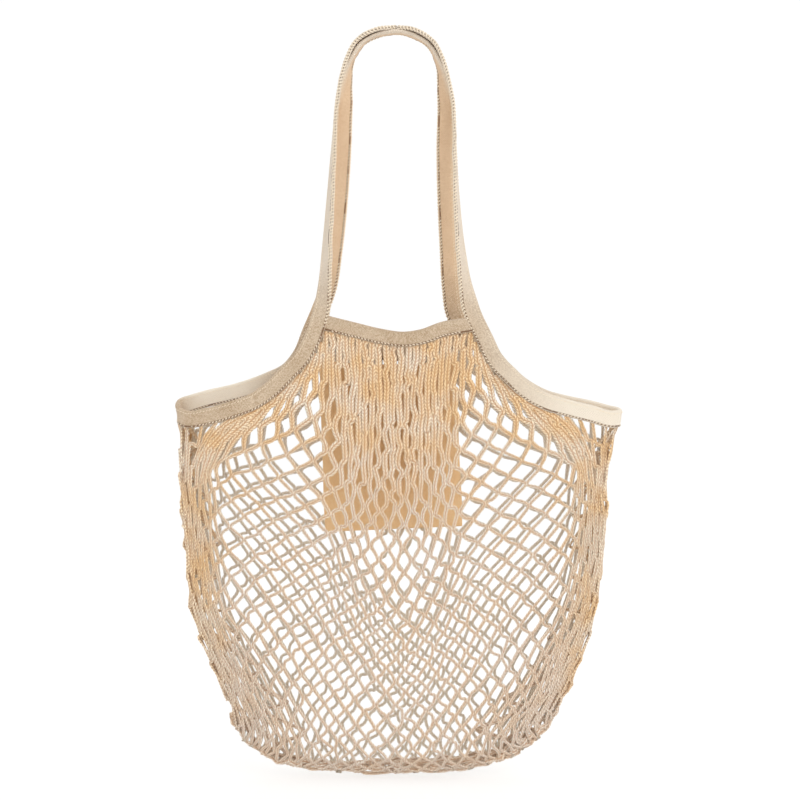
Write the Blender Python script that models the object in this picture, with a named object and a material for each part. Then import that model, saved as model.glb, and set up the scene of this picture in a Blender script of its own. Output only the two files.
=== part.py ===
import math

import bpy
import numpy as np

# Lengths in metres. The bag hangs from the origin, its front faces -Y and Z is up.
HALF_WIDTH = 0.1936  # from the middle to the left side of the net
DROP = 0.650  # from the hang point to the bottom of the net
HALF_MOUTH = 0.019  # from the middle plane to each band at the mouth
HALF_DEPTH = 0.048  # the same where the net is fullest
TAPE_WIDTH = 0.0150
BAND_WIDTH = 0.0135
CLOTH = 0.0010
CLOSED_SLIT = 0.0004  # between the two legs of a tape with nothing in it
OPEN_SLIT = 0.0031  # the same where the tape holds the edge of the net
NET_CLOTH = 0.0025
SEAT = 0.0070  # how far the edge of the net goes into a tape
HANG = 0.0010  # how far below the tape its edge is where it doesn't
HEM = 0.0030  # how far the edge strip of the net shows below a tape
CLEARANCE = 0.0004
FRONT_CORNER = 0.62  # of the way from the first row of a side to the last row of a handle
CELLS = 14  # diamonds round the net
STRAND_SHARE = 0.82  # hole of a diamond over the diamond
POCKET_HALF_WIDTH = 0.0560
POCKET_HALF_GAP = 0.0058  # half the thickness of the pocket
POCKET_CLOTH = 0.0012
POCKET_TOP = 0.4420  # of DROP
POCKET_BOTTOM = 0.6725
POCKET_LEAN = -0.034  # of HALF_WIDTH
POCKET_SAG = 0.0043  # of its top edge in the middle
POCKET_TILT = 0.0025  # of its bottom edge, up to the right
POCKET_DRIFT = 0.0060  # of its bottom to the right

STATIONS = 8 * CELLS
TURN, SIDE, BAND = 3, 18, 14  # stations of the net's edge along half a turn, one side and one band


def table(names, *rows):
    return dict(zip(names.split(), np.array(rows, float).T))


# across is a share of HALF_WIDTH and down one of DROP, for the front strap and for the back one.
# ahead is a share of HALF_MOUTH, and edge is 1 where a strap stands edge-on and 0 where it lies flat.
STRAP = "across down back_across back_down ahead edge back_edge"
LEFT_HANDLE = table(
    STRAP,
    (-0.091, -0.0027, -0.077, 0.0016, 0.10, 1, 1),
    (-0.182, 0.0135, -0.145, 0.0149, 0.12, 1, 1),
    (-0.223, 0.0366, -0.198, 0.0366, 0.15, 1, 0.85),
    (-0.248, 0.0636, -0.223, 0.0636, 0.20, 1, 0.55),
    (-0.264, 0.0907, -0.236, 0.0907, 0.26, 1, 0.3),
    (-0.284, 0.1584, -0.245, 0.1584, 0.40, 1, 0.05),
    (-0.302, 0.2261, -0.261, 0.2261, 0.56, 0.95, 0),
    (-0.314, 0.2938, -0.286, 0.2938, 0.75, 0.8, 0),
    (-0.323, 0.3466, -0.316, 0.3466, 0.90, 0.55, 0),
    (-0.336, 0.3777, -0.352, 0.3750, 0.97, 0.25, 0),
)
RIGHT_HANDLE = table(
    STRAP,
    (0.082, -0.0027, 0.068, 0.0016, 0.10, 1, 1),
    (0.168, 0.0135, 0.141, 0.0149, 0.12, 1, 1),
    (0.211, 0.0366, 0.191, 0.0366, 0.15, 1, 0.85),
    (0.236, 0.0636, 0.214, 0.0636, 0.20, 1, 0.55),
    (0.255, 0.0907, 0.227, 0.0907, 0.26, 1, 0.3),
    (0.266, 0.1584, 0.220, 0.1584, 0.40, 1, 0.05),
    (0.275, 0.2261, 0.223, 0.2261, 0.56, 0.97, 0),
    (0.293, 0.2938, 0.232, 0.2938, 0.75, 0.85, 0),
    (0.316, 0.3466, 0.243, 0.3466, 0.90, 0.55, 0),
    (0.341, 0.3777, 0.268, 0.3777, 0.97, 0.1, 0),
)
LEFT_SIDE = table(
    STRAP,
    (-0.373, 0.4129, -0.395, 0.4048, 1.00, 0, 0),
    (-0.423, 0.4400, -0.436, 0.4346, 1.02, 0, 0),
    (-0.482, 0.4590, -0.500, 0.4576, 1.03, 0, 0),
    (-0.564, 0.4833, -0.582, 0.4698, 1.03, 0, 0),
    (-0.645, 0.4996, -0.664, 0.4793, 1.00, 0, 0),
    (-0.745, 0.5104, -0.745, 0.4867, 0.93, 0, 0),
    (-0.855, 0.5192, -0.855, 0.4942, 0.82, 0, 0),
    (-0.936, 0.5226, -0.932, 0.5009, 0.66, 0, 0),
    (-0.978, 0.5170, -0.976, 0.5060, 0.33, 0, 0),
)
RIGHT_SIDE = table(
    STRAP,
    (0.400, 0.4157, 0.341, 0.4102, 1.00, 0, 0),
    (0.445, 0.4427, 0.427, 0.4319, 1.02, 0, 0),
    (0.514, 0.4644, 0.500, 0.4563, 1.03, 0, 0),
    (0.582, 0.4833, 0.582, 0.4779, 1.03, 0, 0),
    (0.668, 0.4982, 0.682, 0.4942, 1.00, 0, 0),
    (0.773, 0.5077, 0.782, 0.5023, 0.93, 0, 0),
    (0.882, 0.5158, 0.891, 0.5091, 0.78, 0, 0),
    (0.968, 0.5226, 0.973, 0.5158, 0.55, 0, 0),
    (1.005, 0.5215, 1.005, 0.5180, 0.27, 0, 0),
)
FRONT_SAG = table("across down", (-0.186, 0.4035), (-0.073, 0.4116), (0.036, 0.4157), (0.118, 0.4123), (0.214, 0.4021))
BACK_SAG = table("across down", (-0.209, 0.4197), (-0.109, 0.4292), (0.0, 0.4333), (0.109, 0.4292), (0.2, 0.4184))
LEFT_LINE = table(
    "down across",
    (0.524, -0.979), (0.565, -0.984), (0.630, -0.984), (0.686, -0.964), (0.760, -0.950),
    (0.795, -0.925), (0.8245, -0.886), (0.857, -0.836), (0.8895, -0.795), (0.922, -0.750), (0.9545, -0.700),
)
RIGHT_LINE = table(
    "down across",
    (0.524, 1.003), (0.551, 0.982), (0.597, 0.964), (0.646, 0.959), (0.695, 0.955),
    (0.741, 0.936), (0.792, 0.905), (0.829, 0.864), (0.8895, 0.800), (0.922, 0.732), (0.9504, 0.655),
)
BOTTOM_LINE = table(
    "across down",
    (-0.700, 0.9545), (-0.550, 0.9850), (-0.391, 0.9950), (-0.209, 0.9990), (0.0, 1.0),
    (0.200, 0.9985), (0.382, 0.9925), (0.527, 0.9780), (0.655, 0.9504),
)
# Down the net: depth in the middle and at the sides of a panel, and how far the side folds in.
SECTION = table(
    "down middle sides fold",
    (0.00, 0.40, 0.26, 0.0), (0.10, 0.42, 0.30, 0.045), (0.30, 0.55, 0.33, 0.075), (0.50, 0.82, 0.33, 0.060),
    (0.70, 1.00, 0.30, 0.035), (0.85, 0.92, 0.22, 0.015), (0.94, 0.62, 0.12, 0.0), (1.00, 0.0, 0.0, 0.0),
)
LEVELS = (0.0, 0.13, 0.27, 0.41, 0.55, 0.68, 0.80, 0.91, 1.0)
POCKET_FORM = table(
    "down width gap",
    (0.00, 1.00, 0.90), (0.08, 1.00, 1.00), (0.30, 1.01, 1.08), (0.60, 1.01, 1.04), (0.85, 1.02, 0.86), (1.00, 1.01, 0.50),
)
COLOURS = {"cotton": (0.86, 0.79, 0.66), "canvas": (0.87, 0.69, 0.44)}


def unit(vectors):
    return vectors / np.linalg.norm(vectors, axis=-1, keepdims=True)


def smooth(at, known, values):
    """A curve through the known values, which never swings past them much."""
    known, values = np.asarray(known, float), np.asarray(values, float)
    shape = (-1,) + (1,) * (values.ndim - 1)
    step = np.diff(known).reshape(shape)
    slope = np.diff(values, axis=0) / step
    inner = (slope[1:] * step[:-1] + slope[:-1] * step[1:]) / (step[1:] + step[:-1])
    tangent = np.concatenate([slope[:1], inner, slope[-1:]])
    at = np.clip(at, known[0], known[-1])
    i = np.clip(np.searchsorted(known, at, side="right") - 1, 0, len(known) - 2)
    h = (known[i + 1] - known[i]).reshape(shape)
    t = (np.asarray(at) - known[i]).reshape(shape) / h
    return (
        values[i] * (1 + 2 * t) * (1 - t) ** 2
        + values[i + 1] * t * t * (3 - 2 * t)
        + tangent[i] * h * t * (1 - t) ** 2
        - tangent[i + 1] * h * t * t * (1 - t)
    )


def lengths(points):
    return np.concatenate([[0], np.cumsum(np.linalg.norm(np.diff(points, axis=0), axis=1))])


def strap_points(rows, side, inward):
    """Middle line, inward direction and edge-on direction of one strap. side is -1 at the front, 1 at the back."""
    back = "back_" if side > 0 else ""
    x = rows[back + "across"] * HALF_WIDTH
    z = -rows[back + "down"] * DROP
    y = side * rows["ahead"] * HALF_MOUTH
    edge = rows[back + "edge"] * math.pi / 2
    # A side binding hangs more and more upright towards the turn.
    upright = np.clip(np.abs(rows["across"]) - 0.45, 0, 0.45) / 0.45 if abs(rows["across"][-1]) > 0.9 else 0
    lean = np.stack([np.cos(edge) * inward * (1 - 0.85 * upright), -side * np.sin(edge), -np.cos(edge)], 1)
    return np.stack([x, y, z], 1), lean


def tape_path():
    """Knots of the endless tape, from the top of the front handle down its left side and round."""
    top = np.array([[0, 0, 0.0041]]), np.array([[0, 1.0, 0]])
    under = np.array([[0, 0, 0.0012]]), np.array([[0, -1.0, 0]])
    runs = [top]
    for rows in (LEFT_HANDLE, LEFT_SIDE):
        runs.append(strap_points(rows, -1, 1))
    for rows in (LEFT_SIDE, LEFT_HANDLE):
        runs.append([part[::-1] for part in strap_points(rows, 1, 1)])
    runs.append(under)
    for rows in (RIGHT_HANDLE, RIGHT_SIDE):
        runs.append(strap_points(rows, 1, -1))
    for rows in (RIGHT_SIDE, RIGHT_HANDLE):
        runs.append([part[::-1] for part in strap_points(rows, -1, -1)])
    runs.append(top)
    return [np.concatenate(part) for part in zip(*runs)]


def frames(points, lean):
    """Directions across and through the endless tape, square to its line."""
    ahead = unit(np.roll(points, -1, 0) - np.roll(points, 1, 0))
    across = unit(lean - (lean * ahead).sum(1, keepdims=True) * ahead)
    return across, np.cross(ahead, across)


def folded(width, slit):
    """Section of a folded tape: distance across from the middle, and through, fold first."""
    half, leg, inside = width / 2, slit / 2 + CLOTH, slit / 2
    return np.array([
        (half, leg), (-half + 0.0016, leg), (-half + 0.0004, leg * 0.6), (-half, 0),
        (-half + 0.0004, -leg * 0.6), (-half + 0.0016, -leg), (half, -leg),
        (half, -inside), (-half + 0.0024, -inside), (-half + 0.0016, 0), (-half + 0.0024, inside), (half, inside),
    ])


def add_solid(name, points, faces, material):
    points = np.asarray(points, float)
    volume = 0.0
    for face in faces:
        for a, b in zip(face[1:-1], face[2:]):
            volume += np.dot(points[face[0]], np.cross(points[a], points[b]))
    if volume < 0:
        faces = [tuple(reversed(face)) for face in faces]
    mesh = bpy.data.meshes.new(name)
    mesh.from_pydata(points.tolist(), [], [tuple(int(i) for i in face) for face in faces])
    mesh.validate()
    mesh.shade_smooth()
    mesh.set_sharp_from_angle(angle=math.radians(50))
    mesh.materials.append(material)
    solid = bpy.data.objects.new(name, mesh)
    bpy.context.scene.collection.objects.link(solid)
    return solid


def sweep(name, points, across, through, slits, width, closed, material):
    count = len(points)
    rings = []
    for i in range(count):
        section = folded(width, slits[i])
        rings.append(points[i] + section[:, :1] * across[i] + section[:, 1:] * through[i])
    size = len(rings[0])
    faces = []
    for i in range(count if closed else count - 1):
        j = (i + 1) % count
        for k in range(size):
            m = (k + 1) % size
            faces.append((i * size + k, i * size + m, j * size + m, j * size + k))
    if not closed:
        faces.append(tuple(reversed(range(size))))
        faces.append(tuple((count - 1) * size + k for k in range(size)))
    return add_solid(name, np.concatenate(rings), faces, material)


class Tape:
    """The endless tape as a curve by length, with the places where it leaves and joins each handle."""

    def __init__(self):
        knots, lean = tape_path()
        self.at = lengths(knots)
        self.knots, self.lean = knots, lean
        handle, side = len(LEFT_HANDLE["down"]), len(LEFT_SIDE["down"])
        first = 1 + handle
        ends = first, first + 2 * side - 1, first + 2 * side + 2 * handle + 1, first + 4 * side + 2 * handle
        # The front band joins the tape a little above the first row of each side.
        self.corners = [
            self.at[ends[0]] - FRONT_CORNER * (self.at[ends[0]] - self.at[ends[0] - 1]), self.at[ends[1]],
            self.at[ends[2]], self.at[ends[3]] + FRONT_CORNER * (self.at[ends[3] + 1] - self.at[ends[3]]),
        ]
        self.turns = [
            self.at[first + side - 1:first + side + 1].mean(),
            self.at[first + 3 * side + 2 * handle:first + 3 * side + 2 * handle + 2].mean(),
        ]

    def point(self, at):
        return smooth(at, self.at, self.knots)

    def direction(self, at):
        return smooth(at, self.at, self.lean)


def edge_places(tape):
    """Lengths along the tape of the net's edge stations on the left and right, front to back."""
    turn_half = 0.022
    places = []
    for (start, end), turn in zip((tape.corners[:2], tape.corners[2:]), tape.turns):
        first = np.linspace(start, turn - turn_half, SIDE + 1)
        middle = turn + np.linspace(-turn_half, turn_half, 2 * TURN + 1)[1:-1]
        last = np.linspace(turn + turn_half, end, SIDE + 1)
        places.append(np.concatenate([first, middle, last]))
    return places


def tape_stations(tape, places):
    total = tape.at[-1]
    left, right = places
    first = np.concatenate([np.linspace(0, 0.13, 14), np.linspace(0.13, left[0] - 0.004, 15)[1:]])
    second = np.concatenate([
        np.linspace(left[-1] + 0.004, total / 2 - 0.13, 15)[:-1], np.linspace(total / 2 - 0.13, total / 2 + 0.13, 27),
        np.linspace(total / 2 + 0.13, right[0] - 0.004, 15)[1:],
    ])
    last = np.concatenate([np.linspace(right[-1] + 0.004, total - 0.13, 15), np.linspace(total - 0.13, total, 14)[1:-1]])
    at = np.concatenate([first, left, second, right, last])
    held = np.isin(at, np.concatenate(places))
    return at, np.where(held, OPEN_SLIT, CLOSED_SLIT)


def band_line(sag, ends, side):
    """A band from one open edge of the tape to the other."""
    x = sag["across"] * HALF_WIDTH
    z = -sag["down"] * DROP
    y = np.full(len(x), side * HALF_MOUTH)
    points = np.concatenate([[ends[0]], np.stack([x, y, z], 1), [ends[1]]])
    points[:, 1] = np.interp(points[:, 0], (ends[0][0], 0, ends[1][0]), (ends[0][1], side * HALF_MOUTH, ends[1][1]))
    known = lengths(points)
    return smooth(np.linspace(0, known[-1], BAND + 1), known, points)


def band_frames(line, ends):
    """Directions across and through a band. Its ends are cut along the tape, so there they follow the tape's own line."""
    down = np.array([0.0, 0.0, -1.0])
    ahead = unit(np.gradient(line, axis=0))
    square = unit(down - (ahead @ down)[:, None] * ahead)
    place = np.linspace(0, 1, len(line))[:, None]
    first, last = np.clip(1 - place / 0.15, 0, 1), np.clip(1 - (1 - place) / 0.15, 0, 1)
    across = unit(square * (1 - first - last) + ends[0] * first + ends[1] * last)
    return across, unit(np.cross(ahead, across))


class Edge:
    """The net's top edge, station by station: middle of the tape or band, direction into the net, half its width."""

    def __init__(self, tape, places, bands, cuts):
        left, right = places
        tape_half, band_half = TAPE_WIDTH / 2, BAND_WIDTH / 2
        at, _ = tape_stations(tape, places)
        points = tape.point(at)
        across, _ = frames(points, tape.direction(at))
        parts = [None] * 4
        for slot, run in ((0, left), (2, right)):
            chosen = np.searchsorted(at, run)
            parts[slot] = (points[chosen], across[chosen], tape_half)
        for slot, side, order in ((1, 1, 1), (3, 0, -1)):
            over, _ = band_frames(bands[side], cuts[side])
            parts[slot] = (bands[side][::order][1:-1], over[::order][1:-1], band_half)
        middle, inward, seat = [], [], []
        # Near a corner or a turn the net hangs just under the tape, elsewhere its edge is in the fold.
        for slot, (line, over, half) in enumerate(parts):
            middle.append(line + over * half)
            inward.append(over)
            depth = np.full(len(line), SEAT)
            depth[:3] = depth[-3:] = -HANG
            if slot % 2 == 0:
                depth[SIDE - 3:SIDE + 2 * TURN + 4] = -HANG
            seat.append(depth)
        # The list starts at the left front corner and runs over the back. It is turned to start at the left turn.
        shift = SIDE + TURN
        self.edge = np.roll(np.concatenate(middle), -shift, 0)[::-1]
        self.inward = np.roll(np.concatenate(inward), -shift, 0)[::-1]
        self.seat = np.roll(np.concatenate(seat), -shift)[::-1]
        self.edge = np.roll(self.edge, 1, 0)
        self.inward = np.roll(self.inward, 1, 0)
        self.seat = np.roll(self.seat, 1)
        self.count = len(self.edge)
        # Where a tape and a band meet, the net passes under the corner between them.
        for corner in (TURN + SIDE, TURN + SIDE + BAND):
            for i in (corner, self.count - corner):
                self.edge[i] = (self.edge[i - 1] + self.edge[i + 1]) / 2
                self.inward[i] = unit(self.inward[i - 1] + self.inward[i + 1])
        self.start = self.edge + self.inward * HEM

    def seated(self):
        return self.edge - self.inward * self.seat[:, None]

    def below(self, station):
        known = np.arange(-2, self.count + 3)
        return smooth(np.mod(station, self.count), known, self.start[known % self.count])


def outline(rows, down_share):
    """A side line or the bottom line of the net by share of its length, in X and Z."""
    points = np.stack([rows["across"] * HALF_WIDTH, -rows["down"] * DROP], 1)
    known = lengths(points)
    return smooth(np.asarray(down_share) * known[-1], known, points)


class Net:
    """The net's mid-surface by station round the bag and share of the way down."""

    def __init__(self, edge):
        self.edge = edge
        self.half = edge.count // 2

    def panel(self, share, depth, rim):
        left, right = outline(LEFT_LINE, depth), outline(RIGHT_LINE, depth)
        bottom = outline(BOTTOM_LINE, share)
        share, depth = share[:, None], depth[:, None]
        corners = [outline(LEFT_LINE, [0.0]), outline(RIGHT_LINE, [0.0]), outline(BOTTOM_LINE, [0.0]), outline(BOTTOM_LINE, [1.0])]
        return (
            (1 - depth) * rim + depth * bottom + (1 - share) * left + share * right
            - (1 - share) * (1 - depth) * corners[0] - share * (1 - depth) * corners[1]
            - (1 - share) * depth * corners[2] - share * depth * corners[3]
        )

    def point(self, station, depth):
        station = np.mod(np.atleast_1d(np.asarray(station, float)), self.edge.count)
        depth = np.atleast_1d(np.asarray(depth, float))
        rim = self.edge.below(station)
        # Back stations are read as the front ones that they face.
        front = station <= self.half
        across = np.where(front, station, self.edge.count - station)
        flank = np.clip((TURN - np.minimum(across, self.half - across)) / TURN, 0, 1)
        share = np.clip((across - TURN) / (self.half - 2 * TURN), 0, 1)
        corner = self.edge.below(np.where(front, np.clip(across, TURN, self.half - TURN), -np.clip(across, TURN, self.half - TURN)))
        plan = self.panel(share, depth, np.where(flank[:, None] > 0, corner, rim)[:, [0, 2]])
        form = {key: smooth(depth, SECTION["down"], SECTION[key]) for key in ("middle", "sides", "fold")}
        bow = (1 - np.abs(2 * share - 1) ** 2.4) ** 0.8
        y = (form["sides"] + (form["middle"] - form["sides"]) * bow) * HALF_DEPTH * (1 - flank)
        inward = np.where(across < self.half / 2, 1, -1) * form["fold"] * HALF_WIDTH * (1 - (1 - flank) ** 2)
        free = np.stack([plan[:, 0] + inward, np.where(front, -y, y), plan[:, 1]], 1)
        ease = np.clip(depth / 0.16, 0, 1)[:, None]
        ease = ease * ease * (3 - 2 * ease)
        hung = np.stack([rim[:, 0] + (plan[:, 0] - corner_x(rim, corner, flank)), rim[:, 1], plan[:, 1]], 1)
        return hung * (1 - ease) + free * ease


def corner_x(rim, corner, flank):
    """X that the panel starts from: the rim's own, or the corner's on a side."""
    return np.where(flank > 0, corner[:, 0], rim[:, 0])


class Lattice:
    """Vertices and faces of the net's mid-surface. Points met twice are one vertex."""

    def __init__(self, net):
        self.net = net
        self.points, self.known, self.faces = [], {}, []

    def vertex(self, point):
        key = tuple(np.round(np.asarray(point) * 1e6).astype(int))
        if key not in self.known:
            self.known[key] = len(self.points)
            self.points.append(np.asarray(point, float))
        return self.known[key]

    def at(self, station, level):
        depth = np.interp(level, range(len(LEVELS)), LEVELS)
        if depth >= 1:
            station = min(station % STATIONS, STATIONS - station % STATIONS)
            point = self.net.point(station, depth)[0]
            point[1] = 0
            return self.vertex(point)
        return self.vertex(self.net.point(station, depth)[0])

    def ring(self, outer, centre, shrink):
        """Strands round one gap: the cell's own edges, and the same points drawn towards its centre."""
        inner = [(centre[0] + (s - centre[0]) * k, centre[1] + (l - centre[1]) * k) for (s, l), k in zip(outer, shrink)]
        a = [self.at(*spot) for spot in outer]
        b = [self.at(*spot) for spot in inner]
        for i in range(len(a)):
            j = (i + 1) % len(a)
            self.faces.append((a[i], a[j], b[j], b[i]))

    def strip(self, upper, lower):
        a = [self.vertex(point) for point in upper]
        b = [self.vertex(point) for point in lower]
        for i in range(len(a)):
            j = (i + 1) % len(a)
            self.faces.append((a[i], a[j], b[j], b[i]))


def net_lattice(net):
    lattice = Lattice(net)
    last = len(LEVELS) - 1
    cell = STATIONS // CELLS
    half = cell // 2
    lattice.strip(net.edge.seated(), [net.point(s, 0.0)[0] for s in range(STATIONS)])
    for level in range(last + 1):
        for cell_index in range(CELLS):
            s = cell_index * cell + (half if level % 2 == 0 else 0)
            left, right = (s - half, level), (s + half, level)
            upper = [(s - half / 2, level - 0.5), (s, level - 1), (s + half / 2, level - 0.5)]
            lower = [(s + half / 2, level + 0.5), (s, level + 1), (s - half / 2, level + 0.5)]
            if level == 0:
                top = [(s + k - half, 0) for k in range(cell + 1)]
                inner = [(s + (k - half) * 0.72, 0.09) for k in range(cell + 1)]
                drawn = inner + [(s + half * 0.36 * 1.1, 0.52), (s, 0.80), (s - half * 0.36 * 1.1, 0.52)]
                a = [lattice.at(*spot) for spot in top + lower]
                b = [lattice.at(*spot) for spot in drawn]
                for i in range(len(a)):
                    j = (i + 1) % len(a)
                    lattice.faces.append((a[i], a[j], b[j], b[i]))
            elif level < last:
                lattice.ring([left] + upper + [right] + lower, (s, level), [STRAND_SHARE] * 8)
            else:
                a = [lattice.at(*spot) for spot in (left, upper[0], upper[1], (s, level))]
                b = [lattice.at(*spot) for spot in ((s, level), upper[1], upper[2], right)]
                lattice.faces += [tuple(a), tuple(b)]
    return lattice


def thicken(points, faces, thickness):
    """Both sides of a sheet and the walls round its holes."""
    points = np.asarray(points)
    faces = [face for face in faces if len(set(face)) == len(face)]
    normals = np.zeros_like(points)
    for face in faces:
        corners = points[list(face)]
        normal = np.cross(corners[2] - corners[0], corners[-1] - corners[1])
        normals[list(face)] += normal
    normals = unit(normals)
    count = len(points)
    sides = np.concatenate([points + normals * thickness / 2, points - normals * thickness / 2])
    solid = [tuple(face) for face in faces] + [tuple(i + count for i in reversed(face)) for face in faces]
    open_edges = {}
    for face in faces:
        for a, b in zip(face, face[1:] + face[:1]):
            if open_edges.pop((b, a), None) is None:
                open_edges[(a, b)] = True
    for a, b in open_edges:
        solid.append((b, a, a + count, b + count))
    return sides, solid


def pocket(material):
    """A flat pouch, open at the top. Its back lies against the underside of the back band."""
    around = 28
    turn = np.arange(around) * 2 * math.pi / around
    # A flat oval with tight ends.
    across = np.sign(np.cos(turn)) * np.abs(np.cos(turn)) ** 0.55
    through = np.sign(np.sin(turn)) * np.abs(np.sin(turn)) ** 0.75
    top, bottom = -POCKET_TOP * DROP, -POCKET_BOTTOM * DROP
    centre_x = POCKET_LEAN * HALF_WIDTH
    back = HALF_MOUTH - OPEN_SLIT / 2 - CLEARANCE
    centre_y = back - POCKET_HALF_GAP

    def ring(share, inset):
        width = smooth(np.array([share]), POCKET_FORM["down"], POCKET_FORM["width"])[0] * POCKET_HALF_WIDTH - inset
        gap = smooth(np.array([share]), POCKET_FORM["down"], POCKET_FORM["gap"])[0] * POCKET_HALF_GAP - inset
        x = centre_x + across * width + POCKET_DRIFT * share
        y = centre_y + through * gap
        z = top + (bottom - top) * share - POCKET_SAG * (1 - across**2) * (1 - share) + POCKET_TILT * share * across
        return np.stack([x, y, z], 1)

    shares = (0.0, 0.1, 0.25, 0.45, 0.65, 0.85, 1.0)
    outer = [ring(share, 0.0) for share in shares]
    inner = [ring(share, POCKET_CLOTH) for share in shares[:-1]]
    floor = ring(1.0, POCKET_CLOTH)
    floor[:, 2] += POCKET_CLOTH * 1.5
    inner.append(floor)
    rings = outer[::-1] + inner
    points = np.concatenate(rings)
    faces = []
    for i in range(len(rings) - 1):
        for k in range(around):
            m = (k + 1) % around
            faces.append((i * around + k, i * around + m, (i + 1) * around + m, (i + 1) * around + k))
    faces.append(tuple(reversed(range(around))))
    faces.append(tuple((len(rings) - 1) * around + k for k in range(around)))
    return add_solid("inner_pocket", points, faces, material)


def cloth_material(name, colour):
    material = bpy.data.materials.new(name)
    material.use_nodes = True
    shader = material.node_tree.nodes["Principled BSDF"]
    shader.inputs["Base Color"].default_value = (*colour, 1)
    shader.inputs["Roughness"].default_value = 0.9
    material.diffuse_color = (*colour, 1)
    return material


def build():
    for leftover in list(bpy.data.objects):
        bpy.data.objects.remove(leftover, do_unlink=True)
    tape = Tape()
    places = edge_places(tape)
    at, slits = tape_stations(tape, places)
    points = tape.point(at)
    lean = tape.direction(at)
    across, through = frames(points, lean)
    sweep("handle_tape", points, across, through, slits, TAPE_WIDTH, True, cloth_material("tape", COLOURS["cotton"]))

    reach = TAPE_WIDTH / 2 + 2 * CLEARANCE
    bands, cuts = [], []
    corners = ((places[0][0], places[1][-1]), (places[0][-1], places[1][0]))
    for name, pair, sag, side in zip(("front_band", "back_band"), corners, (FRONT_SAG, BACK_SAG), (-1, 1)):
        ends, cut = [], []
        for corner in pair:
            i = int(np.searchsorted(at, corner))
            ends.append(points[i] + across[i] * reach)
            line = unit(points[i + 1] - points[i - 1])
            cut.append(line * -np.sign(line[2]))
        bands.append(band_line(sag, ends, side))
        cuts.append(cut)
        over, normal = band_frames(bands[-1], cut)
        slits = [OPEN_SLIT] * len(over)
        sweep(name, bands[-1], over, normal, slits, BAND_WIDTH, False, cloth_material(name, COLOURS["cotton"]))

    edge = Edge(tape, places, bands, cuts)
    lattice = net_lattice(Net(edge))
    sides, solid = thicken(lattice.points, lattice.faces, NET_CLOTH)
    add_solid("net_body", sides, solid, cloth_material("net", COLOURS["cotton"]))
    pocket(cloth_material("canvas", COLOURS["canvas"]))


build()
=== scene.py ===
import math

import bmesh
import bpy
import numpy as np
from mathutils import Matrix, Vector


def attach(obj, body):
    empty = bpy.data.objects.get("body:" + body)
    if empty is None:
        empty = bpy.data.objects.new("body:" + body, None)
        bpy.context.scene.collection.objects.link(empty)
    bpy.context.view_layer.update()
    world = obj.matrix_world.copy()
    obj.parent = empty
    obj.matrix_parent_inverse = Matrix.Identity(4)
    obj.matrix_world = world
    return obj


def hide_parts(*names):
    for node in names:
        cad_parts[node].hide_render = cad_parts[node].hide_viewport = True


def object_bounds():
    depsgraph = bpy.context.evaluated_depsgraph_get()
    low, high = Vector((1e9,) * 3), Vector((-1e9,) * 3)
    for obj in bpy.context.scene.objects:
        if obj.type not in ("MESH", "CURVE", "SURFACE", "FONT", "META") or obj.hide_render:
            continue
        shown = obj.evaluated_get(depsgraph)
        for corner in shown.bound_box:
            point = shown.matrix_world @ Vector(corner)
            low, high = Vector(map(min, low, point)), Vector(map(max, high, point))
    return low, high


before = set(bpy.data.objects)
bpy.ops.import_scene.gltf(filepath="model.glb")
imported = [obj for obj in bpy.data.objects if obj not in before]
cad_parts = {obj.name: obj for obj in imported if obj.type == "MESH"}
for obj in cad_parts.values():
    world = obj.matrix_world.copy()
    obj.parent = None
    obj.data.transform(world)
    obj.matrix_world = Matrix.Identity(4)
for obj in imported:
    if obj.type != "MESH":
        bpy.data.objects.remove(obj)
cadBox = [[float(v) for v in corner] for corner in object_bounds()]
print("frame loaded")

# Sizes that every piece shares, in metres, as in the solids.
bag = {
    "halfWidth": 0.1936,
    "drop": 0.650,
    "halfMouth": 0.019,
    "halfDepth": 0.048,
    "tapeWidth": 0.0150,
    "bandWidth": 0.0135,
    "frontCorner": 0.62,
    "uprightFrom": 0.45,  # from this share of the half width on, the tape turns upright towards its end
    "upright": 0.85,
}


# Small tools that several pieces share.


def unit(vectors):
    return vectors / np.maximum(np.linalg.norm(vectors, axis=-1, keepdims=True), 1e-12)


def smooth(at, known, values):  # a curve through known values
    known, values = np.asarray(known, float), np.asarray(values, float)
    shape = (-1,) + (1,) * (values.ndim - 1)
    step = np.diff(known).reshape(shape)
    slope = np.diff(values, axis=0) / step
    inner = (slope[1:] * step[:-1] + slope[:-1] * step[1:]) / (step[1:] + step[:-1])
    tangent = np.concatenate([slope[:1], inner, slope[-1:]])
    at = np.clip(np.asarray(at, float), known[0], known[-1])
    i = np.clip(np.searchsorted(known, at, side="right") - 1, 0, len(known) - 2)
    h = (known[i + 1] - known[i]).reshape(shape)
    t = (at - known[i]).reshape(shape) / h
    return (
        values[i] * (1 + 2 * t) * (1 - t) ** 2 + values[i + 1] * t * t * (3 - 2 * t)
        + tangent[i] * h * t * (1 - t) ** 2 - tangent[i + 1] * h * t * t * (1 - t)
    )


def lengths(points):
    return np.concatenate([[0], np.cumsum(np.linalg.norm(np.diff(points, axis=0), axis=1))])


def ease(t):
    t = np.clip(t, 0, 1)
    return t * t * (3 - 2 * t)


def waves(x, y, seed, count=6, low=0.5, high=2.0):  # soft repeatable unevenness, about -1 to 1
    random = np.random.default_rng(seed)
    total = 0
    for _ in range(count):
        fx, fy = random.uniform(low, high, 2) * random.choice([-1, 1], 2)
        total = total + np.sin(fx * x + fy * y + random.uniform(0, 2 * math.pi))
    return total / math.sqrt(count) / 1.4


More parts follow.
